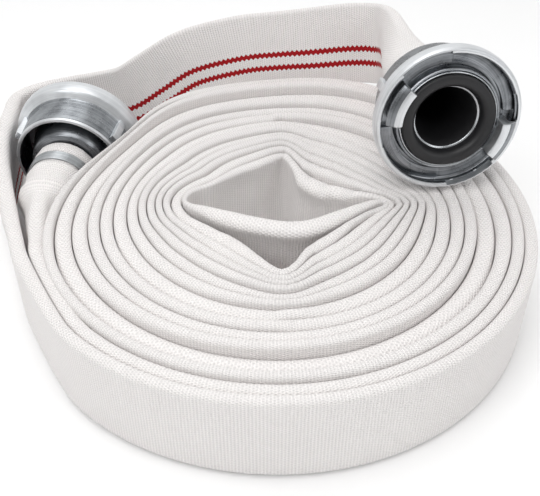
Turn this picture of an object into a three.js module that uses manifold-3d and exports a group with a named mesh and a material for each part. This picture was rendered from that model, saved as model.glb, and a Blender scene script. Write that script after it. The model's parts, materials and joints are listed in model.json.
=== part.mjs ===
// A fire hose rolled up from its middle, with a two-claw twist-lock coupling on each end.
// Millimetres, +Z up. The roll stands on edge on the floor, so the hose's width is its height.
import * as THREE from 'three';
import { mergeVertices } from 'three/addons/utils/BufferGeometryUtils.js';
import Module from 'manifold-3d';

const wasm = await Module();
wasm.setup();

// ---------------------------------------------------------------- driving dimensions
const HOSE_WIDTH = 64; // lay-flat width of a 38 mm bore hose
const LAYER = 9.5; // thickness of one slack outer layer, two walls and the air between them
const GAP = 0.4; // clearance kept between neighbouring pieces
const FLANGE_R = 49; // outer radius of the lug ring, 98 mm across
const HUB_BORE_R = 33.2; // the claws' inner faces are 66 mm apart, flush with the ring's bore
const CLAW_OUT_R = 39.5;
const CLAW_NOSE_R = 43.5;
const CLAW_ARC = 38; // degrees
const LIP_GAP_ARC = 42; // degrees of lip cut away for the other coupling's claw
const RIB_FROM_CLAW = 118; // degrees from a claw to the nearest spanner rib
const COLLAR_R = 32.6; // outside of the tail's collar, inside the lug ring's bore
const SNAP_Z = -12; // middle of the snap ring's groove
const BORE_R = 16.5; // waterway through the tail
const MOUTH_R = 20.5; // waterway at the seal
const TAIL_R = 19; // outside of the hose tail
const TAIL_END = -72; // how far the tail reaches behind the coupling's face
const HOSE_END_R = 22; // outside of the jacket where it is stretched over the tail
const WIRE_R = 0.85; // binding wire
const WIRE_TURNS = 6;
const WIRE_TOP = -53.2; // the end of the winding nearest the collar

// Coupling A lies on top of the roll, coupling B stands on the floor beside it.
const COUPLING_A = { at: [109, 20.5, 114.6], azimuth: -82, elevation: 7.2, claws: 158 };
const COUPLING_B = { at: [-151, 109, 49.4], azimuth: 83, elevation: 3, claws: 30 };

// Roll outline, as radius at each angle from +X. It is pressed in where coupling B lies against it.
const ROLL_OUTLINE = [
  [0, 167], [15, 170], [30, 170], [45, 169], [60, 168], [75, 170], [90, 172], [105, 171],
  [113, 164], [121, 153], [129, 142], [137, 132], [150, 129.5], [160, 134], [168, 139], [175, 145],
  [183, 150], [195, 151.5], [210, 152], [221, 152], [222.5, 173], [235, 173], [248, 173], [261, 174],
  [270, 173], [282, 170], [296, 170], [314, 171], [330, 170], [345, 167],
];
const BUTT_ANGLE = 219.5; // where the two free stretches meet the roll's step
const CORE_OPENING = [
  [-64, 6], [-46, 17], [-22, 41], [-4, 65], [4, 70], [12, 62], [21, 38], [34, 24], [54, 15], [74, 5],
  [64, 1], [39, -9], [22, -20], [6, -22], [-12, -20], [-30, -12], [-52, -3],
];

const radians = THREE.MathUtils.degToRad;

function polar(radius, degrees, z = 0) {
  return new THREE.Vector3(radius * Math.cos(radians(degrees)), radius * Math.sin(radians(degrees)), z);
}

// ---------------------------------------------------------------- materials
const fabric = () => new THREE.MeshStandardMaterial({ color: 0xeeebe6, roughness: 0.95, metalness: 0 });
const castAluminium = () => new THREE.MeshStandardMaterial({ color: 0xb9bec2, roughness: 0.38, metalness: 1 });
const turnedAluminium = () => new THREE.MeshStandardMaterial({ color: 0xc9cdd0, roughness: 0.3, metalness: 1 });
const blackRubber = () => new THREE.MeshStandardMaterial({ color: 0x17181a, roughness: 0.7, metalness: 0 });
const springSteel = () => new THREE.MeshStandardMaterial({ color: 0x8f9498, roughness: 0.35, metalness: 1 });
const steelWire = () => new THREE.MeshStandardMaterial({ color: 0xa4a8ab, roughness: 0.3, metalness: 1 });

function named(name, geometry, material) {
  const mesh = new THREE.Mesh(geometry, material);
  mesh.name = name;
  return mesh;
}

// ---------------------------------------------------------------- solids
function toManifold(geometry) {
  const bare = geometry.clone();
  bare.deleteAttribute('normal');
  bare.deleteAttribute('uv');
  const merged = mergeVertices(bare, 1e-4);
  return new wasm.Manifold(new wasm.Mesh({
    numProp: 3,
    vertProperties: new Float32Array(merged.attributes.position.array),
    triVerts: new Uint32Array(merged.index.array),
  }));
}

function toGeometry(manifold) {
  const mesh = manifold.getMesh();
  const geometry = new THREE.BufferGeometry();
  geometry.setAttribute('position', new THREE.BufferAttribute(new Float32Array(mesh.vertProperties), 3));
  geometry.setIndex(new THREE.BufferAttribute(new Uint32Array(mesh.triVerts), 1));
  geometry.computeVertexNormals();
  return geometry;
}

// A turned piece about Z. The profile is a closed loop of [radius, z].
function turned(profile, segments = 32) {
  const loop = [...profile, profile[0]].map(([radius, z]) => new THREE.Vector2(radius, z));
  return new THREE.LatheGeometry(loop, segments).rotateX(Math.PI / 2);
}

// A block that is part of a ring: between two radii, two heights and an arc about a middle angle.
function ringSector(inner, outer, low, high, middle, arc) {
  const start = radians(middle - arc / 2);
  const end = radians(middle + arc / 2);
  const shape = new THREE.Shape();
  shape.absarc(0, 0, outer, start, end, false);
  shape.absarc(0, 0, inner, end, start, true);
  const block = new THREE.ExtrudeGeometry(shape, { depth: high - low, bevelEnabled: false, curveSegments: 6 });
  return block.translate(0, 0, low);
}

// A closed hose stretch: a capped cylinder whose rings are carried along a smooth centre line.
// Each station gives its place, the height and thickness of the section, and its outward lean.
function hoseStretch(stations, steps, sides = 10) {
  const line = new THREE.CatmullRomCurve3(stations.map((s) => new THREE.Vector3(...s.at)), false, 'centripetal');
  const geometry = new THREE.CylinderGeometry(1, 1, 1, sides, steps);
  const position = geometry.attributes.position;
  const vertex = new THREE.Vector3();
  for (let i = 0; i < position.count; i += 1) {
    vertex.fromBufferAttribute(position, i);
    const along = Math.min(1, Math.max(0, 0.5 - vertex.y));
    const place = along * (stations.length - 1);
    const index = Math.min(stations.length - 2, Math.floor(place));
    const [from, to] = [stations[index], stations[index + 1]];
    const mix = (key) => THREE.MathUtils.lerp(from[key], to[key], place - index);
    const forward = line.getTangent(along);
    const outward = new THREE.Vector3(forward.y, -forward.x, 0).normalize();
    const up = new THREE.Vector3().crossVectors(outward, forward).normalize();
    const lean = radians(mix('lean'));
    const across = outward.clone().multiplyScalar(Math.cos(lean)).addScaledVector(up, -Math.sin(lean));
    const tall = up.clone().multiplyScalar(Math.cos(lean)).addScaledVector(outward, Math.sin(lean));
    const point = line.getPoint(along)
      .addScaledVector(across, vertex.x * mix('thick') / 2)
      .addScaledVector(tall, -vertex.z * mix('tall') / 2);
    position.setXYZ(i, point.x, point.y, point.z);
  }
  return geometry;
}

// ---------------------------------------------------------------- couplings
function lugRing(clawAngle) {
  const body = turned([
    [HUB_BORE_R, -16], [37.2, -16], [37.2, -38], [39.5, -38], [41.5, -14], [46.5, -13], [FLANGE_R, -2.5],
    [48, 0], [45, 0], [44.6, -3.5], [46.2, -4.5], [46.2, -8.5], [44.6, -9.5], [35.4, -9.5],
    [35, -2.5], [HUB_BORE_R, -2.5], [HUB_BORE_R, SNAP_Z + 1.5], [HUB_BORE_R + 1.2, SNAP_Z + 1.5],
    [HUB_BORE_R + 1.2, SNAP_Z - 1.5], [HUB_BORE_R, SNAP_Z - 1.5],
  ], 48);
  let ring = toManifold(body);
  for (const turn of [0, 180]) {
    const stem = ringSector(HUB_BORE_R, CLAW_OUT_R, -9, 7.5, clawAngle + turn, CLAW_ARC);
    const nose = ringSector(CLAW_OUT_R - 1, CLAW_NOSE_R, 3, 7.5, clawAngle + turn, CLAW_ARC);
    const gapAngle = clawAngle + turn - (CLAW_ARC + LIP_GAP_ARC) / 2 - 4;
    const gap = ringSector(43, 46.7, -6, 2, gapAngle, LIP_GAP_ARC);
    ring = ring.subtract(toManifold(gap)).add(toManifold(stem)).add(toManifold(nose));
  }
  for (const turn of [0, 120, 240]) {
    ring = ring.add(toManifold(ringSector(39.6, 44.5, -34, -14, clawAngle + turn + RIB_FROM_CLAW, 8)));
  }
  return toGeometry(ring);
}

function tailShank() {
  return turned([
    [MOUTH_R, -7], [MOUTH_R, -20], [BORE_R, -32], [BORE_R, TAIL_END], [TAIL_R - 0.6, TAIL_END],
    [TAIL_R, -66], [TAIL_R - 0.7, -65], [TAIL_R, -59], [TAIL_R - 0.7, -58], [TAIL_R, -52],
    [TAIL_R - 0.7, -51], [TAIL_R, -41], [27, -40], [31, -24], [COLLAR_R, -20], [COLLAR_R, SNAP_Z - 1.5],
    [COLLAR_R - 1.3, SNAP_Z - 1.5], [COLLAR_R - 1.3, SNAP_Z + 1.5], [COLLAR_R, SNAP_Z + 1.5],
    [COLLAR_R, -2], [COLLAR_R - 1, -2], [COLLAR_R - 1, -7],
  ]);
}

// The seal sits in the cup of the tail's collar and stands just proud of it.
function sealRing() {
  return turned([
    [MOUTH_R, -6.6], [31.2, -6.6], [31.2, 0], [30.6, 0.6], [24, 0.6], [21.5, -0.6], [MOUTH_R, -2.4],
  ]);
}

// A split spring wire in two facing grooves. The lug ring turns on it and can't slide off the tail.
function snapRing() {
  const wire = new THREE.Shape();
  wire.absarc(0, 0, 1.1, 0, Math.PI * 2, false);
  const points = [];
  for (let degrees = 8; degrees <= 352; degrees += 8) {
    points.push(polar((HUB_BORE_R + COLLAR_R) / 2, degrees, SNAP_Z));
  }
  const path = new THREE.CatmullRomCurve3(points);
  return new THREE.ExtrudeGeometry(wire, { steps: 44, extrudePath: path, bevelEnabled: false, curveSegments: 4 });
}

// The end of the rubber lining, stretched over the tail's barbs under the jacket.
function liningEnd() {
  return turned([[TAIL_R + GAP, TAIL_END + 0.5], [20.6, TAIL_END + 0.5], [20.6, -42.5], [TAIL_R + GAP, -42.5]]);
}

// The end of the woven jacket, thicker at its turned white collar, waisted under the wire.
function jacketCuff() {
  return turned([
    [21, TAIL_END], [HOSE_END_R + 1, TAIL_END], [HOSE_END_R + 1, -64.5], [HOSE_END_R + 0.2, -63.5],
    [HOSE_END_R + 0.2, -52.5], [HOSE_END_R + 1.6, -51.5], [HOSE_END_R + 1.6, -43.5], [21, -43],
  ]);
}

// The wound binding wire, as one solid with a ridge for each turn.
function bindingWire() {
  const inner = HOSE_END_R + 0.2 + GAP;
  const low = WIRE_TOP - WIRE_TURNS * 2 * WIRE_R;
  const profile = [[inner, low], [inner + WIRE_R, low]];
  for (let turn = 0; turn < WIRE_TURNS; turn += 1) {
    const z = low + turn * 2 * WIRE_R;
    profile.push([inner + 2 * WIRE_R, z + WIRE_R], [inner + WIRE_R, z + 2 * WIRE_R]);
  }
  return turned([...profile, [inner, WIRE_TOP]]);
}

function coupling(letter, { at, azimuth, elevation, claws }) {
  const group = new THREE.Group();
  const outward = axisOf({ azimuth, elevation });
  const right = new THREE.Vector3(-outward.y, outward.x, 0).normalize();
  const up = new THREE.Vector3().crossVectors(outward, right);
  group.quaternion.setFromRotationMatrix(new THREE.Matrix4().makeBasis(right, up, outward));
  group.position.set(...at);
  group.add(
    named(`lug_ring_${letter}`, lugRing(claws), castAluminium()),
    named(`tail_shank_${letter}`, tailShank(), turnedAluminium()),
    named(`seal_ring_${letter}`, sealRing(), blackRubber()),
    named(`snap_ring_${letter}`, snapRing(), springSteel()),
    named(`lining_end_${letter}`, liningEnd(), blackRubber()),
    named(`jacket_cuff_${letter}`, jacketCuff(), fabric()),
    named(`binding_wire_${letter}`, bindingWire(), steelWire()),
  );
  return group;
}

function axisOf({ azimuth, elevation }) {
  const flat = polar(Math.cos(radians(elevation)), azimuth);
  return flat.setZ(Math.sin(radians(elevation)));
}

// A point on a coupling's axis, so far behind its face.
function behind(coupled, distance) {
  return new THREE.Vector3(...coupled.at).addScaledVector(axisOf(coupled), -distance).toArray();
}

// ---------------------------------------------------------------- hose
function hoseRoll() {
  const shape = new THREE.Shape(ROLL_OUTLINE.map(([degrees, radius]) => {
    const { x, y } = polar(radius, degrees);
    return new THREE.Vector2(x, y);
  }));
  shape.holes.push(new THREE.Path(CORE_OPENING.map(([x, y]) => new THREE.Vector2(x, y))));
  return new THREE.ExtrudeGeometry(shape, { depth: HOSE_WIDTH, bevelEnabled: false });
}

function round(at) {
  return { at, tall: 2 * HOSE_END_R, thick: 2 * HOSE_END_R, lean: 0 };
}

function flat(at, thick = LAYER, lean = 0) {
  return { at, tall: HOSE_WIDTH - 0.6 * thick, thick, lean };
}

// Free stretch A: from coupling A back over the roll, standing up behind it, round the left side.
function outerTurn() {
  const low = HOSE_WIDTH / 2 - 2;
  return hoseStretch([
    round(behind(COUPLING_A, -TAIL_END + GAP)),
    round(behind(COUPLING_A, 84)),
    { at: [94, 126, 100.5], tall: 52, thick: 30, lean: 0 },
    { at: [90, 150, 98.5], tall: 58, thick: 18, lean: 2 },
    flat([85, 170, 97], 12, 5),
    flat([75, 184, 95], 10, 9),
    flat([58, 187.5, 93], 10, 12),
    flat([28, 186, 88], 10, 12),
    flat([0, 185, 84.5], 10, 12),
    flat([-30, 184, 81], 10, 12),
    flat([-70, 182, 71], 10, 12),
    flat([-97, 180, 56], 10, 10),
    flat([-122, 177, 42], 10, 7),
    flat([-146, 174, 38], 10, 4),
    flat([-170, 168, 37], 10, 2),
    flat([-192, 158, 36], 10, 0),
    flat([-206, 143, 35], 10, 0),
    flat([-209, 120, 34], 9, 0),
    flat([-208, 98, 33], 9, -2),
    flat([-206, 70, 32], 9, -3),
    flat([-195.5, 38, low + 1], 9, -2),
    flat([-184, 8, low + 1], 9, 0),
    flat([-171.5, -26, low + 1], 9, 0),
    flat([-158.5, -57, low + 1], 9, 0),
    flat(polar(168, 210, low + 1).toArray(), 9, 0),
    flat(polar(168, BUTT_ANGLE, low + 1).toArray(), 9, 0),
  ], 64);
}

// Free stretch B: from coupling B forward along the left side, under the outer turn.
function endB() {
  const low = HOSE_WIDTH / 2 - 1;
  return hoseStretch([
    round(behind(COUPLING_B, -TAIL_END + GAP)),
    round(behind(COUPLING_B, 82)),
    { at: [-161.5, 12, 40], tall: 50, thick: 30, lean: 0 },
    { at: [-160, -8, 35], tall: 56, thick: 18, lean: 0 },
    flat([-156, -30, low], 11, 0),
    flat([-149.5, -52, low], 9, 0),
    flat(polar(158, 207, low).toArray(), 9, 0),
    flat(polar(158, BUTT_ANGLE, low).toArray(), 9, 0),
  ], 28);
}

// ---------------------------------------------------------------- assembly
const hose = new THREE.Group();
hose.add(
  named('hose_roll', hoseRoll(), fabric()),
  named('hose_outer_turn', outerTurn(), fabric()),
  named('hose_end_b', endB(), fabric()),
  coupling('a', COUPLING_A),
  coupling('b', COUPLING_B),
);

// The origin is the middle of the footprint, on the floor.
hose.updateMatrixWorld(true);
const box = new THREE.Box3().setFromObject(hose, true);
const middle = box.getCenter(new THREE.Vector3());
hose.position.set(-middle.x, -middle.y, -box.min.z);

export default hose;
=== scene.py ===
# %% [markdown]
# A fire hose, rolled up from its middle for storage, with a coupling on each end. The frame holds the
# couplings' places and plain solids for the hose. This file models the woven jacket as one long tube
# that really is wound up, and the couplings as the forged and turned pieces that they are made of.

# %% the frame
import json
import math

import bpy
import numpy as np
from mathutils import Matrix, Vector


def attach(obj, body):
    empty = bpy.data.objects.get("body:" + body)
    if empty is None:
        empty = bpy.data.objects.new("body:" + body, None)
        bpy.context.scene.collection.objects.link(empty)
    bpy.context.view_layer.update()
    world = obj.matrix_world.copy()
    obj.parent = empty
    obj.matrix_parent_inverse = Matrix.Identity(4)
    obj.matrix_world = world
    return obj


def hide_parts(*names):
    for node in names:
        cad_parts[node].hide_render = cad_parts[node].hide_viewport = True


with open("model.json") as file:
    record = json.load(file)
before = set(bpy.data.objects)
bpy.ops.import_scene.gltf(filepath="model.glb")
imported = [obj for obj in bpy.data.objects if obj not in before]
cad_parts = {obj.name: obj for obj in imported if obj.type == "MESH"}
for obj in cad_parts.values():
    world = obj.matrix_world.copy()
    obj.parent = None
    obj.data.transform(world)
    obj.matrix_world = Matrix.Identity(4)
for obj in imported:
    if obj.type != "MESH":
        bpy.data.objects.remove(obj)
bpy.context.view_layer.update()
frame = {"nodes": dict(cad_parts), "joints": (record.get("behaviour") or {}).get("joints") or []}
MM = 0.001
print("nodes in the frame", len(frame["nodes"]))

# %% [markdown]
# All places start from the frame. Coupling A lies on the roll, 109 mm right of the axis that the hose is
# wound round and 20.5 mm behind it, so its joint gives that axis. The camera stands in front of the roll
# and looks down on it at about 40 degrees, as a person does who has put the roll on a table. Sizes are
# worked out in millimetres and divided down at the end.

# %% the roll's axis and the camera
joint_a = next(j for j in frame["joints"] if j["name"] == "lug_ring_a_turn")
ROLL_AXIS = np.array([joint_a["pos_m"][0] / MM - 109.0, joint_a["pos_m"][1] / MM - 20.5, 0.0])
CAMERA_AT = Vector(ROLL_AXIS + (-6.8, -449.8, 396.6)) * MM
CAMERA_AIM = Vector(ROLL_AXIS + (-6.8, -7.6, 32.0)) * MM
camera_data = bpy.data.cameras.new("camera")
camera_data.sensor_width = 36.0
camera_data.lens = 56.07
camera = bpy.data.objects.new("camera", camera_data)
camera.location = CAMERA_AT
camera.rotation_euler = (CAMERA_AIM - CAMERA_AT).to_track_quat("-Z", "Y").to_euler()
bpy.context.scene.collection.objects.link(camera)
bpy.context.scene.camera = camera
bpy.context.scene.view_settings.view_transform = "Standard"
print("camera", camera.location)

# %% [markdown]
# The floor is a plain white sheet, and the light is a studio's: one big soft box overhead and a little in
# front, a weaker one behind it, one at the left front and a weaker one at the right. The room is bright
# behind the object and dim in front of it, which draws the edges of the metal.

# %% floor and lights
bpy.ops.object.select_all(action="DESELECT")
bpy.ops.mesh.primitive_plane_add(size=12.0, location=(0, 0, -0.0005))
floor = bpy.context.object
floor.name = "floor"


def soft_box(name, at, aim, size, watts):
    """A square area light that points at a place."""
    data = bpy.data.lights.new(name, "AREA")
    data.size = size
    data.energy = watts
    lamp = bpy.data.objects.new(name, data)
    lamp.location = at
    lamp.rotation_euler = (Vector(aim) - Vector(at)).to_track_quat("-Z", "Y").to_euler()
    bpy.context.scene.collection.objects.link(lamp)


soft_box("top_light", (-0.2, -0.45, 1.45), (0, 0, 0), 1.0, 5.4)
soft_box("back_light", (-0.25, 0.4, 1.5), (0, 0, 0), 1.0, 3.2)
soft_box("front_light", (-0.8, -1.0, 1.25), (0, 0, 0.05), 0.8, 6.0)
soft_box("right_light", (1.1, -0.8, 0.9), (0, 0, 0.05), 0.8, 3.6)

world = bpy.data.worlds.new("studio")
bpy.context.scene.world = world
world.use_nodes = True
background = world.node_tree.nodes["Background"]
background.inputs["Color"].default_value = (1.0, 1.0, 1.0, 1.0)
direction = world.node_tree.nodes.new("ShaderNodeTexCoord")
parts = world.node_tree.nodes.new("ShaderNodeSeparateXYZ")
fade = world.node_tree.nodes.new("ShaderNodeMapRange")
for name, value in (("From Min", -0.7), ("From Max", 0.9), ("To Min", 0.34), ("To Max", 0.95)):
    fade.inputs[name].default_value = value
world.node_tree.links.new(direction.outputs["Generated"], parts.inputs[0])
world.node_tree.links.new(parts.outputs["Y"], fade.inputs["Value"])
world.node_tree.links.new(fade.outputs[0], background.inputs["Strength"])

# %% [markdown]
# Materials are node trees. One function turns a paint-chart hex value into the linear numbers that the
# renderer wants, and one small function adds a node with its settings and its links.

# %% helpers for materials
def linear(hex_colour):
    """An sRGB hex value as linear RGBA."""
    parts = [int(hex_colour[i:i + 2], 16) / 255 for i in (1, 3, 5)]
    return tuple(p / 12.92 if p <= 0.04045 else ((p + 0.055) / 1.055) ** 2.4 for p in parts) + (1.0,)


def add_node(tree, kind, settings=None, **inputs):
    """A node of a kind; an input that is a socket is linked, and any other is set."""
    node = tree.nodes.new(kind)
    for name, value in (settings or {}).items():
        setattr(node, name, value)
    for name, value in inputs.items():
        socket = node.inputs[int(name[1:])] if name[1:].isdigit() else node.inputs[name.replace("_", " ")]
        if isinstance(value, bpy.types.NodeSocket):
            tree.links.new(value, socket)
        else:
            socket.default_value = value
    return node


def new_material(name):
    """An empty material, its tree and its output node."""
    material = bpy.data.materials.new(name)
    material.use_nodes = True
    material.node_tree.nodes.clear()
    return material, material.node_tree


def finish_material(tree, shader):
    tree.links.new(shader.outputs[0], add_node(tree, "ShaderNodeOutputMaterial").inputs["Surface"])


print("white chip", linear("#FFFFFF"))

# %% floor finish
# Matt white paper sweep: nearly all the light comes back, with no gloss.
paper, tree = new_material("matt_paper_sweep")
finish_material(tree, add_node(tree, "ShaderNodeBsdfPrincipled", Base_Color=linear("#FFFFFF"),
                               Roughness=0.9))
floor.data.materials.append(paper)
print("floor finish", paper.name)

# %% [markdown]
# The jacket is woven from bleached polyester: thick weft yarns run round the tube every 1.9 mm and show
# as fine ribs across the flat hose, and the warp yarns bind them every 1.5 mm, which gives the dotted
# rows along each fold. Two red marker stripes run along the hose, and the weft pulls their edges into
# small steps. The pattern follows the cloth, so it reads the piece's own UV map, which is in metres: U
# along the hose and V round it from the upper fold.

# %% woven jacket finish
WEFT_PITCH = 1.9
WARP_PITCH = 1.5
ROUND = 131.0
STRIPE_AT = (84.6, 95.0)
STRIPE_WIDTH = 3.7
STRIPE_BLUR = 0.3
STRIPE_WOBBLE = 0.65


def woven_polyester():
    """Bleached polyester jacket with two red marker stripes; matt, with a soft sheen of fibre ends."""
    material, tree = new_material("woven_polyester_jacket")
    uv = add_node(tree, "ShaderNodeUVMap", {"uv_map": "along_and_round"})
    split = add_node(tree, "ShaderNodeSeparateXYZ", Vector=uv.outputs[0])
    along, around = split.outputs["X"], split.outputs["Y"]

    def calculate(operation, first, second=0.0):
        return add_node(tree, "ShaderNodeMath", {"operation": operation}, _0=first, _1=second).outputs[0]

    phase_u = calculate("MULTIPLY", along, 2 * math.pi / (WEFT_PITCH * MM))
    phase_v = calculate("MULTIPLY", around, 2 * math.pi / (WARP_PITCH * MM))
    weft = calculate("SINE", phase_u)
    warp = calculate("SINE", phase_v)
    half_weft = calculate("SINE", calculate("MULTIPLY", phase_u, 0.5))
    checker = calculate("MULTIPLY", half_weft, warp)
    weave = calculate("ADD", calculate("MULTIPLY", weft, 0.5), calculate("MULTIPLY", checker, 0.75))

    wobble = calculate("MULTIPLY", half_weft, STRIPE_WOBBLE * MM)
    wobbled = calculate("ADD", around, wobble)
    in_stripe = 0.0
    for middle in STRIPE_AT:
        away = calculate("ABSOLUTE", calculate("SUBTRACT", wobbled, middle * MM))
        past_edge = calculate("SUBTRACT", away, (STRIPE_WIDTH / 2 - STRIPE_BLUR / 2) * MM)
        cover = calculate("SUBTRACT", 1.0, calculate("DIVIDE", past_edge, STRIPE_BLUR * MM))
        cover = add_node(tree, "ShaderNodeClamp", Value=cover).outputs[0]
        in_stripe = cover if in_stripe == 0.0 else calculate("MAXIMUM", in_stripe, cover)

    place = add_node(tree, "ShaderNodeTexCoord").outputs["Object"]
    soil = add_node(tree, "ShaderNodeTexNoise", Vector=place, Scale=9.0, Detail=5.0, Roughness=0.6)
    shade = add_node(tree, "ShaderNodeMix", {"data_type": "RGBA"}, Factor=soil.outputs["Fac"],
                     _6=linear("#FCF9F7"), _7=linear("#F4F0EF"))
    yarn = add_node(tree, "ShaderNodeMapRange", Value=weave, From_Min=-1.1, From_Max=0.8,
                    To_Min=0.80, To_Max=1.03)
    cloth = add_node(tree, "ShaderNodeMix", {"data_type": "RGBA"}, Factor=in_stripe,
                     _6=shade.outputs[2], _7=linear("#AD1119"))
    toned = add_node(tree, "ShaderNodeMix", {"data_type": "RGBA", "blend_type": "MULTIPLY"}, Factor=1.0,
                     _6=cloth.outputs[2], _7=yarn.outputs[0])
    yarns = add_node(tree, "ShaderNodeBump", Height=weave, Strength=0.8, Distance=0.34 * MM)
    crease = add_node(tree, "ShaderNodeTexNoise", Vector=place, Scale=38.0, Detail=3.0)
    creases = add_node(tree, "ShaderNodeBump", Height=crease.outputs["Fac"], Strength=0.25,
                       Distance=1.2 * MM, Normal=yarns.outputs[0])
    finish_material(tree, add_node(
        tree, "ShaderNodeBsdfPrincipled", Base_Color=toned.outputs[2], Normal=creases.outputs[0],
        Roughness=0.88, Sheen_Weight=0.12, Sheen_Roughness=0.5, IOR=1.45, Specular_IOR_Level=0.25))
    return material


JACKET_FINISH = woven_polyester()
print("jacket finish", len(JACKET_FINISH.node_tree.nodes), "nodes")

# %% [markdown]
# Metal and rubber. The lug rings are hot-forged aluminium, tumbled and left bare: pale, satin and a
# little uneven. Where the lathe has cut them, in the track and on the barrel, they show fine turning
# marks, and there their colour is darker than bare aluminium: painted shade in the track and a painted
# reflection of the dim room on the barrel. The tails are turned all over. The seals and the hose's
# lining are black nitrile rubber.

# %% metal and rubber finishes
def satin_metal(name, bright, dark, roughness, marks, relief):
    """Bare metal: cloudy between two greys, with turning marks of a pitch in mm round the piece's axis."""
    material, tree = new_material(name)
    uv = add_node(tree, "ShaderNodeUVMap", {"uv_map": "round_and_along"})
    place = add_node(tree, "ShaderNodeTexCoord").outputs["Object"]
    clouds = add_node(tree, "ShaderNodeTexNoise", Vector=place, Scale=70.0, Detail=5.0, Roughness=0.6)
    stretch = add_node(tree, "ShaderNodeMapping", Vector=uv.outputs[0], Scale=(6.0, 1 / (marks * MM), 1.0))
    lines = add_node(tree, "ShaderNodeTexNoise", Vector=stretch.outputs[0], Scale=1.0, Detail=3.0)
    tone = add_node(tree, "ShaderNodeMix", {"data_type": "FLOAT"}, Factor=0.55,
                    _2=clouds.outputs["Fac"], _3=lines.outputs["Fac"])
    spread = add_node(tree, "ShaderNodeMapRange", Value=tone.outputs[0], From_Min=0.35, From_Max=0.65)
    colour = add_node(tree, "ShaderNodeMix", {"data_type": "RGBA"}, Factor=spread.outputs[0],
                      _6=linear(dark), _7=linear(bright))
    rough = add_node(tree, "ShaderNodeMapRange", Value=clouds.outputs["Fac"], From_Min=0.3, From_Max=0.7,
                     To_Min=roughness - 0.07, To_Max=roughness + 0.07)
    cut = add_node(tree, "ShaderNodeBump", Height=lines.outputs["Fac"], Strength=0.3, Distance=relief * MM)
    grit = add_node(tree, "ShaderNodeTexNoise", Vector=place, Scale=900.0, Detail=2.0)
    cast = add_node(tree, "ShaderNodeBump", Height=grit.outputs["Fac"], Strength=0.25, Distance=0.1 * MM,
                    Normal=cut.outputs[0])
    finish_material(tree, add_node(
        tree, "ShaderNodeBsdfPrincipled", Base_Color=colour.outputs[2], Metallic=1.0,
        Roughness=rough.outputs[0], Normal=cast.outputs[0]))
    return material


def black_rubber(name, roughness):
    """Moulded nitrile rubber: near black, with a soft gloss broken by a fine bloom."""
    material, tree = new_material(name)
    place = add_node(tree, "ShaderNodeTexCoord").outputs["Object"]
    bloom = add_node(tree, "ShaderNodeTexNoise", Vector=place, Scale=160.0, Detail=4.0)
    colour = add_node(tree, "ShaderNodeMix", {"data_type": "RGBA"}, Factor=bloom.outputs["Fac"],
                      _6=linear("#0F0F11"), _7=linear("#1E1E21"))
    rough = add_node(tree, "ShaderNodeMapRange", Value=bloom.outputs["Fac"],
                     To_Min=roughness, To_Max=roughness + 0.2)
    relief = add_node(tree, "ShaderNodeBump", Height=bloom.outputs["Fac"], Strength=0.2,
                      Distance=0.15 * MM)
    finish_material(tree, add_node(
        tree, "ShaderNodeBsdfPrincipled", Base_Color=colour.outputs[2], Roughness=rough.outputs[0],
        Normal=relief.outputs[0], IOR=1.52))
    return material


FORGED = satin_metal("forged_aluminium_tumbled", "#EEF0F2", "#D3D6D9", 0.42, 1.1, 0.05)
# Painted reflection: the barrel's dark grey stands for the dim room reflected in it; its turning marks are
# real.
BARREL_PAINTED_REFLECTION = satin_metal("turned_aluminium_barrel_painted_reflection", "#B8BCC0", "#5E6165", 0.28, 0.7, 0.06)
# Painted shade: the track's dark grey stands for shade in the recesses; its turning marks are real.
MACHINED_PAINTED_SHADE = satin_metal("machined_aluminium_track_painted_shade", "#A7AAAE", "#5F6266", 0.30, 0.5, 0.06)
TURNED = satin_metal("turned_aluminium", "#D9DCDF", "#A9ADB1", 0.26, 0.4, 0.05)
SPRING = satin_metal("spring_steel", "#A6A6A4", "#7B7B79", 0.32, 0.6, 0.02)
ZINC_WIRE = satin_metal("zinc_coated_binding_wire", "#C9CCCE", "#94989B", 0.34, 0.8, 0.03)
SEAL_RUBBER = black_rubber("moulded_nitrile_rubber", 0.38)
# The same black rubber also covers the tail's waterway, where it is painted shade of the deep bore.
LINING_RUBBER_AND_BORE_SHADE = black_rubber("smooth_rubber_lining_and_painted_bore_shade", 0.5)
print("materials", len(bpy.data.materials))

# %% [markdown]
# The hose is one woven tube about ten metres long. It was folded in the middle and both halves were
# wound together, so two strands spiral side by side from the couplings to the fold in the core.
# A spiral could be a Screw modifier or a curve with a bevel, but every layer here has its own
# thickness and the core is a diamond, so the centre line is worked out as stations first.

# %% places taken from the frame
def coupling_frame(letter):
    """The place, axis, right and up of a coupling, from its joint."""
    joint = next(j for j in frame["joints"] if j["name"] == f"lug_ring_{letter}_turn")
    at = np.array(joint["pos_m"]) / MM
    axis = np.array(joint["axis"], float)
    axis = axis / np.linalg.norm(axis)
    right = np.array([-axis[1], axis[0], 0.0])
    right = right / np.linalg.norm(right)
    return at, axis, right, np.cross(axis, right)


COUPLING = {letter: coupling_frame(letter) for letter in "ab"}


def behind(letter, distance):
    """A point on a coupling's axis, so many millimetres behind its face, measured from the roll's axis."""
    at, axis, _, _ = COUPLING[letter]
    return at - axis * distance - ROLL_AXIS


print("roll axis", ROLL_AXIS.round(1), "coupling a", COUPLING["a"][0].round(1))

# %% [markdown]
# A layer number tells where a strand lies: 0 is the edge of the core and 14 the outside of the roll.
# Two strands share each turn, so a strand moves in by one layer every half turn. The inner seven
# layers lead from the diamond of the core to a circle, and the outer seven are slacker, some thick and
# some thin. STAND says how much higher or lower each layer stands. The roll is pressed in beside
# coupling B, bulges a little at the back, and its outer layers are lifted at two places, where the loose
# ends pull on them. These are given by an angle, a spread in degrees and an amount.

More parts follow.
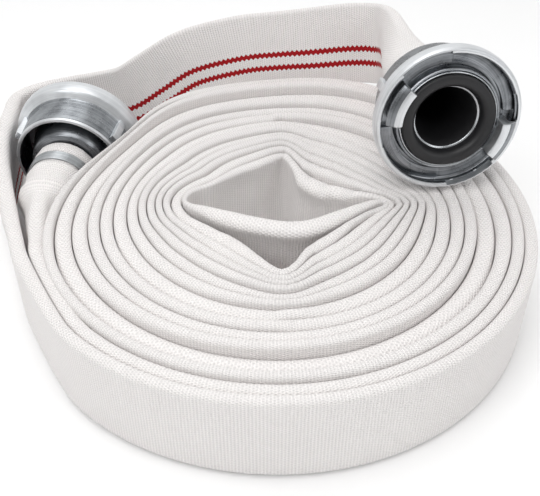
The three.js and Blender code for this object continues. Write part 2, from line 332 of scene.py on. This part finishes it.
# %% the roll's layers
WIDTH = 64.0
CORE_EDGE = [
    (69, 1), (62, 5), (45, 10.5), (27, 18), (16, 25), (9.5, 34), (7, 45), (5, 52), (1.6, 57), (-3, 54),
    (-9, 50), (-16, 45), (-37, 25), (-57, 13), (-61, 6), (-61, 0), (-58, -7), (-54, -12), (-41, -18.5),
    (-28, -25), (-22, -32), (-17, -41), (-11, -51), (-5, -60), (2, -63), (8, -58), (12, -48), (15, -40),
    (22, -32), (31.5, -25), (40, -18.5), (50, -12), (60, -6),
]
ROUND_FROM = 7
INNER_SHARE = [0, 0.20, 0.33, 0.43, 0.55, 0.68, 0.80, 1]
OUTER_RADII = [107.5, 116, 125, 132.2, 147.5, 153.7, 162.7, 171, 181]
STAND = [0.0, 0.6, 0.4, 1.4, 0.2, 1.2, 0.2, 1.0, -0.2, 1.6, -0.6, 1.5, -1.2, 0.6, -1.2]
DENT_AT, DENT_SPREAD, DENT = 150.0, 28.0, 0.17
BULGE_AT, BULGE_SPREAD, BULGE = 84.0, 44.0, 0.063
LIFTS = [(145.0, 38.0, 12.0), (66.0, 26.0, 8.5)]


def smooth(values, width):
    """A running mean over a list, done twice, with its ends held."""
    for _ in range(2):
        padded = np.concatenate([np.full(width, values[0]), values, np.full(width, values[-1])])
        values = np.convolve(padded, np.ones(2 * width + 1) / (2 * width + 1), "valid")
    return values


corner_angles = np.degrees(np.arctan2([y for _, y in CORE_EDGE], [x for x, _ in CORE_EDGE])) % 360
corner_radii = np.hypot([x for x, _ in CORE_EDGE], [y for _, y in CORE_EDGE])
DEGREES = np.arange(-360, 720)
core_radii = smooth(np.interp(DEGREES, *zip(*sorted(
    (a + turn, r) for turn in (-360, 0, 360) for a, r in zip(corner_angles, corner_radii)))), 2)
LAYERS = np.linspace(0, 15.0, 301)
inner_share = smooth(np.interp(LAYERS, range(8), INNER_SHARE), 5)
outer_radius = smooth(np.interp(LAYERS, np.arange(7, 16), OUTER_RADII), 5)


def bump(angle, middle, spread):
    """1 at the middle angle, fading to 0 on both sides."""
    away = (np.asarray(angle) - middle + 180) % 360 - 180
    return np.exp(-((away / spread) ** 2))


def layer_radius(layer, angle):
    """How far from the roll's axis a layer number lies in a direction."""
    layer = np.clip(layer, 0, LAYERS[-1])
    core = np.interp(np.asarray(angle) % 360, DEGREES, core_radii)
    share = np.interp(layer, LAYERS, inner_share)
    radius = np.where(layer < ROUND_FROM, core + (OUTER_RADII[0] - core) * share,
                      np.interp(layer, LAYERS, outer_radius))
    radius = radius * (1 + BULGE * bump(angle, BULGE_AT, BULGE_SPREAD) * (layer / 13) ** 2)
    return radius * (1 - DENT * bump(angle, DENT_AT, DENT_SPREAD) * (layer / 12) ** 2)


print("radius of the outer layer at the front", float(layer_radius(14, 270)))

# %% [markdown]
# A station is one place along the hose: the middle of the section, how tall it stands, how far its
# walls are from the middle on the right and on the left of the way the hose runs, how far its top
# leans to the right, how round the tube is, and how far the walls close in below the stiff upper fold. A
# hose that lies open is lower than a flat one, because its cloth goes round more.

# %% stations of the two strands
SPIRAL_START = 224.0
FRONT = 270.0
STEP = 6.0
CORE_STEP = 2.0
SLACK = 0.26
CORE_BLEND = 40.0
FLAT_THICKNESS = 3.0
HEIGHT_LOSS = 0.57
THINNEST = 0.8
FLOOR_GAP = 1.4
PRESSED_LAYERS = 1.6
WAIST = 0.45


def spiral(first_layer, last_turn, core_from):
    """Stations of a strand from where it joins the roll, inwards and counterclockwise."""
    def walls(angle):
        """The radii of a strand's inner and outer wall; past core_from the inner one keeps to the core."""
        layer = first_layer - (angle - FRONT) / 180
        inner = layer - 0.5
        if angle > core_from:
            inner = max(0.0, min(inner, 0.5 - (angle - core_from) / CORE_BLEND))
        return float(layer_radius(inner, angle)), float(layer_radius(layer + 0.5, angle)), layer

    angle, rows = SPIRAL_START, []
    while angle < last_turn:
        inner, outer, layer = walls(angle)
        radius = (inner + outer) / 2
        # Where the wall slants across the circles, its thickness is measured square to it.
        slope = (sum(walls(angle + 0.5)[:2]) - sum(walls(angle - 0.5)[:2])) / 2
        facing = math.cos(math.atan2(math.degrees(slope), radius))
        out = inside = max((outer - radius) * facing - SLACK, THINNEST)
        tall = WIDTH - HEIGHT_LOSS * max(out + inside - FLAT_THICKNESS, 0)
        lift = sum(height * bump(angle, middle, spread) for middle, spread, height in LIFTS)
        lift *= (layer / 12.5) ** 2
        lift += np.interp(layer - 0.5, range(15), STAND)
        # No layer is wound quite level, so its top wanders by half a millimetre.
        lift += 0.5 * math.sin(math.radians(angle) * 1.7 + layer) * min(1.0, layer / 3)
        rows.append((radius * math.cos(math.radians(angle)), radius * math.sin(math.radians(angle)),
                     tall / 2 + FLOOR_GAP + lift, tall, out, inside, 0.0, 0.0,
                     WAIST * np.clip(PRESSED_LAYERS - layer, 0, 1)))
        angle += math.degrees(STEP * facing / radius)
    return np.array(rows)


strand_a = spiral(first_layer=13.5, last_turn=2655, core_from=2520)
strand_b = spiral(first_layer=12.5, last_turn=2512, core_from=2340)
print("spiral stations", len(strand_a), len(strand_b))

# %% [markdown]
# The ends of the hose aren't part of the spiral, so their stations are listed one by one. End A leaves its
# coupling as a round tube, goes flat, turns on edge and runs along the back and round the left side.
# End B comes out of its coupling and dives into the roll at the left. In the core the two strands
# meet, and the hose runs across the opening between two sharp turns.

# %% stations of the two ends and of the core
def round_stations(letter, distances):
    """Stations of the round tube behind a coupling."""
    return [(*behind(letter, d), WIDTH, 4.0, 4.0, 0.0, 1.0, 0.0) for d in distances]


END_A = round_stations("a", (74, 80, 88)) + [
    (93.0, 128, 101.0, 63, 5, 5, 0, 0.66, 0),
    (90.0, 148, 99.5, 63, 4.5, 4.5, 0, 0.38, 0),
    (87.5, 166, 95.5, 63, 4, 4, 3, 0.18, 0),
    (82.5, 179, 91.0, 64, 3.5, 3.5, 10, 0.05, 0),
    (72.0, 184.5, 89.5, 64, 3.5, 3.5, 14, 0, 0),
    (56.0, 186, 88.5, 64, 3.5, 3.5, 15, 0, 0),
    (28.0, 185.5, 86.0, 63, 3.5, 3.5, 13, 0, 0),
    (0.0, 185, 84.0, 61, 3.5, 3.5, 12, 0, 0),
    (-30.0, 184, 81.0, 61, 3.5, 3.5, 12, 0, 0),
    (-70.0, 182, 71.0, 61, 3.5, 3.5, 12, 0, 0),
    (-97.0, 180, 56.0, 61, 3.5, 3.5, 10, 0, 0),
    (-122.0, 177, 42.0, 61, 3.5, 3.5, 7, 0, 0),
    (-146.0, 174, 38.0, 61, 3.5, 3.5, 4, 0, 0),
    (-170.0, 168, 37.0, 61, 3.5, 3.5, 2, 0, 0),
    (-192.0, 158, 36.5, 62, 4.6, 4.6, 0, 0, 0),
    (-207.0, 143, 36.0, 62, 5.8, 5.4, 0, 0, 0),
    (-209.5, 120, 35.0, 62, 6.6, 5.6, -4, 0, 0),
    (-209.0, 98, 34.0, 62, 6.8, 5.6, -4, 0, 0),
    (-206.0, 70, 33.0, 62, 6.6, 5.8, -5, 0, 0),
    (-195.5, 38, 32.5, 61, 5.8, 5.6, -2, 0, 0),
    (-184.0, 8, 32.0, 60, 5.2, 5.2, 0, 0, 0),
    (-171.5, -26, 32.0, 60, 4.8, 4.8, 0, 0, 0),
    (-158.5, -57, 32.0, 60, 4.8, 4.8, 0, 0, 0),
]
END_B = round_stations("b", (74, 80, 87)) + [
    (-161.5, 12, 41, 62, 6, 6, 0, 0.55, 0),
    (-160.0, -8, 36, 62, 6, 6, 0, 0.3, 0),
    (-156.0, -30, 32.5, 60, 5.5, 5.5, 0, 0.05, 0),
    (-149.5, -52, 32, 60, 5, 5, 0, 0, 0),
]
CORE = [
    (-47.5, 21.8, 33.5, 63.5, 2.6, 2.4, 0, 0, 0.3),
    (-58.0, 15.2, 33.5, 63.5, 2.4, 2.1, 0, 0, 0.25),
    (-63.0, 8.5, 33.5, 63.5, 2.0, 1.8, 0, 0, 0.2),
    (-63.3, 2.0, 33.5, 63.5, 2.0, 1.6, 0, 0, 0.2),
    (-59.0, -2.6, 33.6, 63.5, 2.6, 2.2, 0, 0, 0.3),
    (-50.0, -6.4, 33.6, 63.5, 4.4, 4.4, 0, 0, 0.4),
    (-36.0, -12.2, 33.6, 63.5, 6.4, 6.0, 0, 0, 0.45),
    (-15.0, -19.5, 33.6, 63.0, 7.2, 6.6, 0, 0, 0.45),
    (6.0, -24.0, 33.6, 63.0, 7.4, 6.8, 0, 0, 0.45),
    (22.0, -21.0, 33.6, 63.0, 6.8, 6.4, 0, 0, 0.45),
    (40.0, -11.5, 33.6, 63.5, 5.2, 5.6, 0, 0, 0.45),
    (53.0, -4.0, 33.6, 63.5, 3.4, 4.4, 0, 0, 0.4),
    (62.5, 1.0, 33.5, 63.5, 2.2, 2.8, 0, 0, 0.3),
    (67.5, 1.8, 33.5, 63.5, 1.6, 2.4, 0, 0, 0.2),
    (69.8, -0.4, 33.5, 63.5, 1.5, 2.2, 0, 0, 0.2),
    (69.0, -3.6, 33.5, 63.5, 1.5, 2.2, 0, 0, 0.2),
    (65.0, -6.2, 33.5, 63.5, 1.8, 2.4, 0, 0, 0.3),
]
# A listed end leads on to this station of its strand, and so runs into it smoothly.
OVERLAP = 6


def through(points, step=STEP):
    """A smooth line of stations through a few, an even step apart, by the Catmull-Rom formula."""
    points = np.array(points, float)
    padded = np.vstack([2 * points[0] - points[1], points, 2 * points[-1] - points[-2]])
    rows = []
    for p0, p1, p2, p3 in zip(padded, padded[1:], padded[2:], padded[3:]):
        pieces = max(2, round(np.linalg.norm((p2 - p1)[:3]) / step))
        for t in np.arange(pieces) / pieces:
            rows.append(p1 + 0.5 * t * (p2 - p0 + t * (2 * p0 - 5 * p1 + 4 * p2 - p3
                                                       + t * (3 * (p1 - p2) + p3 - p0))))
    return np.vstack(rows)


def turned_round(rows):
    """The same stations for a hose that runs the other way."""
    rows = rows[::-1].copy()
    rows[:, [4, 5]] = rows[:, [5, 4]]
    rows[:, 6] *= -1
    return rows


way_in = through(END_A + [strand_a[0], strand_a[OVERLAP]])[:-OVERLAP]
end_b = through(END_B + [strand_b[0], strand_b[OVERLAP]])[:-OVERLAP]
core = through([strand_a[-1], *CORE, strand_b[-1]], CORE_STEP)
hose = np.vstack([way_in, strand_a[1:], core[1:], turned_round(strand_b)[1:-1], turned_round(end_b)])
step_lengths = np.linalg.norm(np.diff(hose[:, :3], axis=0), axis=1)
LENGTH = step_lengths.sum() * MM
print("hose", round(LENGTH, 2), "m in", len(hose), "stations, steps", step_lengths.min().round(2),
      step_lengths.max().round(2))

# %% [markdown]
# Each station becomes a ring of points: on the flat hose two upright walls joined by a round fold at
# the top and one at the bottom, and on the round hose a circle. The rings are joined into one closed
# skin, whose UV map is laid out in real lengths so that the weave keeps its size everywhere.

# %% the section of the hose
# A fold is lower than half a circle and a little squarer than half an ellipse.
FOLD_HEIGHT = 0.8
FULLNESS = 0.85
TUBE_RADIUS = 21.6
ARC = np.radians([0, 20, 40, 60, 78])
SIDE = [1.0, 0.86, 0.7, 0.4, 0.0, -0.4, -0.8]
half = [(math.sin(a) ** FULLNESS, math.cos(a) ** FULLNESS, 1.0) for a in ARC] + [(1.0, 0.0, s) for s in SIDE]
half += [(math.sin(a) ** FULLNESS, -math.cos(a) ** FULLNESS, -1.0) for a in ARC[::-1][:-1]]
SECTION = np.array(half + [(-a, b, c) for a, b, c in ([(0.0, -1.0, -1.0)] + half[:0:-1])])
CLOSING = np.clip((1 - SECTION[:, 2]) / 0.3, 0, 1)
nominal = np.column_stack([SECTION[:, 0] * 4, SECTION[:, 1] * 4 + SECTION[:, 2] * (WIDTH / 2 - 4)])
run = np.linalg.norm(np.diff(np.vstack([nominal, nominal[:1]]), axis=0), axis=1)
SHARE = np.concatenate([[0], np.cumsum(run)]) / run.sum()


def ring(row, forward):
    """The points of one section, in millimetres from the roll's axis."""
    _, _, _, tall, right, left, lean, roundness, waist = row
    outward = np.array([forward[1], -forward[0], 0.0])
    outward = outward / np.linalg.norm(outward)
    upward = np.cross(outward, forward)
    upward = upward / np.linalg.norm(upward)
    tilt = math.radians(lean)
    outward, upward = (outward * math.cos(tilt) - upward * math.sin(tilt),
                       upward * math.cos(tilt) + outward * math.sin(tilt))
    fold = FOLD_HEIGHT * (right + left) / 2
    sideways = SECTION[:, 0] * np.where(SECTION[:, 0] > 0, right, left)
    sideways = sideways * (1 - waist * CLOSING)
    height = SECTION[:, 1] * fold + SECTION[:, 2] * (tall / 2 - fold)
    turn = 2 * math.pi * SHARE[:-1]
    flatness = max(0.0, 1 - roundness)
    sideways = sideways * flatness + TUBE_RADIUS * np.sin(turn) * roundness
    height = height * flatness + TUBE_RADIUS * np.cos(turn) * roundness
    return row[:3] + np.outer(sideways, outward) + np.outer(height, upward)


def headings(rows):
    """The way the hose runs at each station."""
    runs = np.gradient(rows[:, :3], axis=0)
    return runs / np.linalg.norm(runs, axis=1)[:, None]


print("points in a section", len(SECTION))

# %% the jacket's skin
def skin(name, rings, along, drift):
    """A closed tube through rings of points, with its UV map in metres."""
    rings = np.array(rings)
    count, around = rings.shape[:2]
    points = (rings.reshape(-1, 3) + ROLL_AXIS) * MM
    index = np.arange(count * around).reshape(count, around)
    a, b = index[:-1], index[1:]
    faces = np.stack([a, np.roll(a, -1, 1), np.roll(b, -1, 1), b], axis=-1).reshape(-1, 4)
    ends = [index[0][::-1].tolist(), index[-1].tolist()]
    mesh = bpy.data.meshes.new(name)
    mesh.from_pydata(points.tolist(), [], faces.tolist() + ends)
    u = np.stack([along[:-1], along[:-1], along[1:], along[1:]], axis=-1)
    u = np.repeat(u[:, None, :], around, axis=1)
    v = SHARE[None, :-1] * ROUND * MM + drift[:, None]
    w = SHARE[None, 1:] * ROUND * MM + drift[:, None]
    v = np.stack([v[:-1], w[:-1], w[1:], v[1:]], axis=-1)
    uv = np.stack([u, v], axis=-1).reshape(-1, 2)
    layer = mesh.uv_layers.new(name="along_and_round")
    uv = np.vstack([uv, np.zeros((2 * around, 2))])
    layer.data.foreach_set("uv", uv.ravel())
    mesh.shade_smooth()
    piece = bpy.data.objects.new(name, mesh)
    bpy.context.scene.collection.objects.link(piece)
    return piece


CUFF = [
    (71.6, 0.5), (71.6, 20.8), (58.0, 20.8), (44.2, 20.8), (43.2, 21.4), (42.9, 22.3), (43.2, 23.2),
    (44.2, 23.7), (47.0, 23.8), (50.0, 23.6), (51.6, 23.0), (52.6, 22.3), (58.0, 22.2), (63.8, 22.3),
    (64.8, 22.9), (67.5, 23.1), (70.5, 22.7),
]
INSIDE_RINGS = 4


def cuff_rings(letter, toward):
    """Rings of the hose's end on its tail: up the inside, over the turned collar and down under the wire."""
    forward = COUPLING[letter][1] * toward
    return [ring((*behind(letter, distance), 0, 0, 0, 0, radius / TUBE_RADIUS, 0), forward)
            for distance, radius in CUFF]


cuff_run = np.linalg.norm(np.diff(CUFF + [(74.0, TUBE_RADIUS)], axis=0), axis=1)
cuff_run = cuff_run[::-1].cumsum()[::-1]
along = np.concatenate([[0], np.cumsum(step_lengths)])
along = np.concatenate([-cuff_run, along, along[-1] + cuff_run[::-1]]) * MM
# The pattern drifts round the tube, so the stripes show on the band at the back and not on the outside.
drift = np.interp(along, [0.25, 0.42, 0.52, 0.9, 3.0, LENGTH - 2.0, LENGTH - 0.3],
                  [0.0, 0.006, 0.018, 0.010, 0.040, 0.040, 0.0])
jacket_rings = [ring(row, forward) for row, forward in zip(hose, headings(hose))]
jacket_rings = cuff_rings("a", -1) + jacket_rings + cuff_rings("b", 1)[::-1]
jacket = skin("woven_jacket", jacket_rings, along, drift)
jacket.data.materials.append(JACKET_FINISH)
jacket.data.materials.append(LINING_RUBBER_AND_BORE_SHADE)
# The hose's rubber lining shows inside both of its ends.
inside_faces = INSIDE_RINGS * len(SECTION)
for face in [*jacket.data.polygons[:inside_faces - len(SECTION)],
             *jacket.data.polygons[-2 - inside_faces + len(SECTION):]]:
    face.material_index = 1
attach(jacket, "hose")
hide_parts("hose_roll", "hose_outer_turn", "hose_end_b", "jacket_cuff_a", "jacket_cuff_b")
print("jacket", len(jacket.data.polygons), "faces")

# %% [markdown]
# The couplings are round, so most of each piece is one outline spun round an axis. Each is modelled at
# the origin in the coupling's own frame, with Z pointing out of the mouth and 0 at the front of the
# lip, and is moved onto its coupling at the end, in its mesh.

# %% helpers for the couplings
SPIN_STEPS = 120
WRAP_RADIUS = 0.04


def outline_ring(name, outline):
    """A ring of edges laid out to an outline of (radius, height) points, left in edit mode."""
    bpy.ops.object.select_all(action="DESELECT")
    bpy.ops.mesh.primitive_circle_add(vertices=len(outline), fill_type="NOTHING")
    piece = bpy.context.object
    piece.name = name
    for vertex, (radius, height) in zip(piece.data.vertices, outline):
        vertex.co = (radius * MM, 0.0, height * MM)
    bpy.ops.object.mode_set(mode="EDIT")
    bpy.ops.mesh.select_all(action="SELECT")
    return piece


def turned_piece(name, outline):
    """An outline spun all the way round the Z axis."""
    piece = outline_ring(name, outline)
    bpy.ops.mesh.spin(steps=SPIN_STEPS, angle=2 * math.pi, center=(0, 0, 0), axis=(0, 0, 1))
    bpy.ops.mesh.select_all(action="SELECT")
    bpy.ops.mesh.remove_doubles(threshold=0.01 * MM)
    bpy.ops.mesh.normals_make_consistent(inside=False)
    bpy.ops.object.mode_set(mode="OBJECT")
    return piece


def sector(name, outline, middle, arc, steps=16):
    """An outline filled and spun through an arc, which makes a closed block of a ring."""
    piece = outline_ring(name, outline)
    bpy.ops.mesh.edge_face_add()
    bpy.ops.mesh.spin(steps=steps, angle=math.radians(arc), center=(0, 0, 0), axis=(0, 0, 1))
    bpy.ops.mesh.select_all(action="SELECT")
    bpy.ops.mesh.remove_doubles(threshold=0.001 * MM)
    bpy.ops.mesh.normals_make_consistent(inside=False)
    bpy.ops.object.mode_set(mode="OBJECT")
    # The spin can run either way round, so the block's own vertices say on which side it lies.
    ends = [math.degrees(math.atan2(v.co.y, v.co.x)) for v in piece.data.vertices]
    start = middle - arc / 2 if max(ends) > 1 else middle + arc / 2
    piece.data.transform(Matrix.Rotation(math.radians(start), 4, "Z"))
    return piece


def apply_all(piece):
    """Applies a piece's modifiers in order."""
    bpy.ops.object.select_all(action="DESELECT")
    piece.select_set(True)
    bpy.context.view_layer.objects.active = piece
    for modifier in list(piece.modifiers):
        bpy.ops.object.modifier_apply(modifier=modifier.name)


def combine(piece, other, operation):
    """Joins another solid to a piece or cuts it away, and removes the other."""
    modifier = piece.modifiers.new(operation.lower(), "BOOLEAN")
    modifier.operation = operation
    modifier.solver = "EXACT"
    modifier.object = other
    apply_all(piece)
    bpy.data.objects.remove(other)


def soften(piece, width, segments=2, angle=32):
    """Breaks the sharp edges, as tumbling or a file does, and shades the faces between them smoothly."""
    modifier = piece.modifiers.new("broken_edges", "BEVEL")
    modifier.width = width * MM
    modifier.segments = segments
    modifier.limit_method = "ANGLE"
    modifier.angle_limit = math.radians(angle)
    apply_all(piece)
    bpy.ops.object.shade_smooth_by_angle(angle=math.radians(angle))


def wrap_map(piece):
    """A UV map in metres: U is the way round the Z axis, at WRAP_RADIUS, and V the way along or across."""
    layer = piece.data.uv_layers.new(name="round_and_along")
    for loop in piece.data.loops:
        x, y, z = piece.data.vertices[loop.vertex_index].co
        layer.data[loop.index].uv = (math.atan2(y, x) * WRAP_RADIUS, math.hypot(x, y) + z)


def copied(piece, name, letter, turn):
    """A copy with its own mesh, put on a coupling; turn is in degrees round the coupling's axis."""
    at, axis, right, up = COUPLING[letter]
    place_on = Matrix((right, up, axis)).transposed().to_4x4()
    place_on.translation = Vector(at) * MM
    twin = bpy.data.objects.new(name, piece.data.copy())
    bpy.context.scene.collection.objects.link(twin)
    twin.data.transform(place_on @ Matrix.Rotation(math.radians(turn), 4, "Z"))
    return twin


print("spin steps", SPIN_STEPS)

# %% [markdown]
# The lug ring is the part that a fireman turns. Its rim is a rounded flange with a lip that is undercut
# inside. Two claws stand in front of it: they go in through the two gaps in the other ring's lip, and a
# turn draws them up the ramps behind it. Behind the flange is a barrel with three spanner ribs.

# %% the lug ring's body
CLAW_ARC = 38.0
GAP_ARC = 42.0
GAP_BEHIND = (CLAW_ARC + GAP_ARC) / 2 + 4
STOP_AHEAD = 30.0
STOP_ARC = 23.0
RIB_FROM_CLAW = 118.0
RING = [
    (33.2, -16), (37.2, -16), (37.2, -38), (39.3, -38), (40.0, -36.6), (41.2, -17), (42.4, -14.6),
    (45.4, -13.4), (47.6, -12.0), (48.7, -9.4), (49.0, -5.0), (48.7, -2.0), (47.8, -0.4), (46.6, 0.0),
    (45.6, -0.2), (45.0, -1.0), (44.6, -3.6), (46.2, -4.4), (46.2, -8.6), (44.6, -9.6), (35.6, -9.6),
    (35.0, -8.8), (34.9, -3.1), (34.3, -2.5), (33.8, -2.5), (33.2, -3.1), (33.2, -10.5), (34.4, -10.5),
    (34.4, -13.5), (33.2, -13.5),
]
lug_ring = turned_piece("lug_ring_pattern", RING)
for half_turn in (0, 180):
    gap = sector("lip_gap", [(43.2, -6.2), (46.9, -6.2), (46.9, 2), (43.2, 2)],
                 half_turn - GAP_BEHIND, GAP_ARC)
    combine(lug_ring, gap, "DIFFERENCE")
    stop = sector("stop_recess", [(43.2, -3.0), (45.9, -3.0), (45.9, 2), (43.2, 2)],
                  half_turn + STOP_AHEAD, STOP_ARC, 8)
    combine(lug_ring, stop, "DIFFERENCE")
print("lug ring body", len(lug_ring.data.polygons), "faces")

# %% the ramps, claws and ribs
RAMP_FROM, RAMP_ARC, RAMP_RISE = -70.0, 84.0, 4.2
for half_turn in (0, 180):
    ramp = sector("ramp", [(37.4, -11), (44.9, -11), (44.9, -9.2), (37.4, -9.2)],
                  half_turn + RAMP_FROM - RAMP_ARC / 2, RAMP_ARC, 28)
    for vertex in ramp.data.vertices:
        if vertex.co.z > -10 * MM:
            turn = half_turn + RAMP_FROM - math.degrees(math.atan2(vertex.co.y, vertex.co.x))
            vertex.co.z += RAMP_RISE * MM * ((turn + 1) % 360 - 1) / RAMP_ARC
    combine(lug_ring, ramp, "UNION")
    claw = sector("claw", [
        (33.2, -9), (39.4, -9), (39.4, 1.8), (43.0, 2.6), (43.5, 3.4), (43.2, 4.4), (38.9, 6.9),
        (37.6, 7.5), (34.6, 7.5), (33.6, 7.1), (33.2, 6.2)], half_turn, CLAW_ARC, 20)
    combine(lug_ring, claw, "UNION")
for third in (0, 120, 240):
    rib = sector("spanner_rib", [(39.4, -34), (43.2, -33.4), (44.2, -31), (44.4, -14), (40.2, -14)],
                 third + RIB_FROM_CLAW, 7.5, 4)
    combine(lug_ring, rib, "UNION")
soften(lug_ring, 0.35)
wrap_map(lug_ring)
lug_ring.data.materials.append(FORGED)
lug_ring.data.materials.append(MACHINED_PAINTED_SHADE)
lug_ring.data.materials.append(BARREL_PAINTED_REFLECTION)
# The track, the claws' flanks and the inside of the barrel get a dark grey that is painted shade; the
# outside of the barrel gets a dark grey that is a painted reflection of the dim room.
for face in lug_ring.data.polygons:
    x, y, z = face.center / MM
    radius = math.hypot(x, y)
    in_track = 34.0 < radius < 46.5 and -12 < z < -0.9
    on_claw_flank = 38.8 < radius < 43.6 and 1.0 < z < 6.9
    in_barrel = radius < 37.4 and z < -12
    on_barrel = 39.0 < radius < 42.2 and -36.4 < z < -15
    if in_track or on_claw_flank or in_barrel:
        face.material_index = 1
    elif on_barrel:
        face.material_index = 2
print("lug ring", len(lug_ring.data.polygons), "faces")

# %% [markdown]
# The tail is turned from bar. The lug ring turns on its collar, which holds the seal in a cup; the edge
# of the waterway shows as a bright line inside the seal. The waterway itself gets the black rubber
# finish, which is painted shade of the deep bore. The back of the collar and the barbed tail behind it,
# which goes into the hose, have the same darker machined finish as the ring's track, whose dark grey is
# painted shade. The seal has a rounded face that is pressed against the other coupling's seal. A split
# ring of spring wire lies half in the collar and half in the lug ring, and keeps them together.

# %% the tail, the seal and the snap ring
COLLAR_BACK = -14.0
TAIL_RADIUS, BARB_DEPTH, BARB_STEP = 19.0, 0.7, 5.0 / 3
BARBS = [(TAIL_RADIUS - (BARB_DEPTH if index % 2 else 0.0), -66.0 + index * BARB_STEP)
         for index in range(16)]
TAIL = [
    (21.2, -6.6), (20.6, -7.2), (20.5, -20), (16.5, -32), (16.5, -72), (18.2, -72), *BARBS,
    (19.0, -40.8), (26.6, -40.2), (27.4, -39.6), (31.0, -24), (32.6, -20), (32.6, -13.5), (31.3, -13.5),
    (31.3, -10.5), (32.6, -10.5), (32.6, -2.4), (32.2, -2.0), (31.8, -2.0), (31.5, -2.4), (31.5, -6.6),
]
tail = turned_piece("tail_pattern", TAIL)
soften(tail, 0.15, 1, 50)
wrap_map(tail)
tail.data.materials.append(TURNED)
tail.data.materials.append(LINING_RUBBER_AND_BORE_SHADE)
tail.data.materials.append(MACHINED_PAINTED_SHADE)
# The waterway's faces get the black rubber as painted shade of the deep bore, and the faces behind the
# collar get the dark grey that is painted shade.
for face in tail.data.polygons:
    bore_painted_shade = face.center.xy.length < 20.56 * MM and face.normal.xy.dot(face.center.xy) < 0
    if bore_painted_shade:
        face.material_index = 1
    elif face.center.z < COLLAR_BACK * MM:
        face.material_index = 2

SEAL = [
    (21.9, -6.3), (31.1, -6.3), (31.2, -0.5), (30.9, 0.1), (30.2, 0.5), (29.2, 0.7), (26.8, 0.7),
    (25.4, 0.35), (24.2, -0.5), (23.1, -2.0), (22.4, -4.0),
]
seal = turned_piece("seal_pattern", SEAL)
bpy.ops.object.shade_smooth_by_angle(angle=math.radians(50))
seal.data.materials.append(SEAL_RUBBER)

SNAP_AT, SNAP_RADIUS, SNAP_SPLIT = (32.9, -12), 1.05, 14.0
snap_section = [(SNAP_AT[0] + SNAP_RADIUS * math.cos(math.radians(a)),
                 SNAP_AT[1] + SNAP_RADIUS * math.sin(math.radians(a))) for a in range(0, 360, 30)]
snap_ring = sector("snap_ring_pattern", snap_section, 0.0, 360.0 - SNAP_SPLIT, 100)
bpy.ops.object.shade_smooth_by_angle(angle=math.radians(50))
wrap_map(snap_ring)
snap_ring.data.materials.append(SPRING)

lining = turned_piece("lining_pattern", [
    (19.4, -71.5), (20.6, -71.5), (20.6, -42.6), (20.2, -42.4), (19.4, -42.6)])
bpy.ops.object.shade_smooth_by_angle(angle=math.radians(50))
lining.data.materials.append(LINING_RUBBER_AND_BORE_SHADE)
print("faces", [len(piece.data.polygons) for piece in (tail, seal, snap_ring, lining)])

# %% [markdown]
# The hose is tied onto the tail with wire, wound under tension, so each turn is pressed against the last
# and its ends are tucked under. A circle carried round a helix makes it.

# %% the binding wire
WIRE_RADIUS, WIRE_TURNS, WIRE_TOP = 0.85, 6, -53.2
WIRE_ON = 22.3 + WIRE_RADIUS
TURN_STEPS, WIRE_SIDES = 60, 10
TUCK_STEPS, TUCK_DEPTH = 6, 1.2


def helix_rings():
    """The wire's sections: a turn rises a little less than a diameter, and both ends sink into the cloth."""
    count = TURN_STEPS * WIRE_TURNS
    rings = []
    for index in range(count + 1):
        turn = 2 * math.pi * index / TURN_STEPS
        end = min(index, count - index) / TUCK_STEPS
        radius = WIRE_ON - TUCK_DEPTH * max(0.0, 1 - end) ** 2
        middle = np.array([radius * math.cos(turn), radius * math.sin(turn),
                           WIRE_TOP - WIRE_RADIUS - index * (2 * WIRE_RADIUS) * (WIRE_TURNS - 1) / count])
        outward = np.array([math.cos(turn), math.sin(turn), 0.0])
        upward = np.array([0.0, 0.0, 1.0])
        angles = -np.arange(WIRE_SIDES) * 2 * math.pi / WIRE_SIDES
        rings.append(middle + WIRE_RADIUS * 0.97 * (np.outer(np.cos(angles), outward)
                                                    + np.outer(np.sin(angles), upward)))
    return np.array(rings)


rings = helix_rings()
index = np.arange(rings.shape[0] * WIRE_SIDES).reshape(rings.shape[0], WIRE_SIDES)
quads = np.stack([index[:-1], np.roll(index[:-1], -1, 1), np.roll(index[1:], -1, 1), index[1:]], axis=-1)
wire_mesh = bpy.data.meshes.new("binding_wire_pattern")
wire_mesh.from_pydata((rings.reshape(-1, 3) * MM).tolist(), [],
                      quads.reshape(-1, 4).tolist() + [index[0][::-1].tolist(), index[-1].tolist()])
wire_mesh.shade_smooth()
binding_wire = bpy.data.objects.new("binding_wire_pattern", wire_mesh)
bpy.context.scene.collection.objects.link(binding_wire)
wrap_map(binding_wire)
binding_wire.data.materials.append(ZINC_WIRE)
print("binding wire", len(wire_mesh.polygons), "faces")

# %% both couplings put in place
CLAW_AT = {"a": 158.0, "b": 30.0}
PATTERNS = [
    (lug_ring, "lug_ring", "forged_aluminium"), (tail, "tail_shank", "turned_aluminium"),
    (seal, "seal_ring", "black_rubber"), (snap_ring, "snap_ring", "spring_steel"),
    (lining, "lining_end", "black_rubber"), (binding_wire, "binding_wire", "binding_wire"),
]
for letter in "ab":
    for pattern, node, finish in PATTERNS:
        turns = pattern is lug_ring
        piece = copied(pattern, f"{node}_{letter}_fine", letter, CLAW_AT[letter] if turns else 0.0)
        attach(piece, f"lug_ring_{letter}" if turns else "hose")
        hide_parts(f"{node}_{letter}")
for pattern, _, _ in PATTERNS:
    bpy.data.objects.remove(pattern)
print("coupling pieces", 2 * len(PATTERNS))

# %% [markdown]


print("all pieces made")
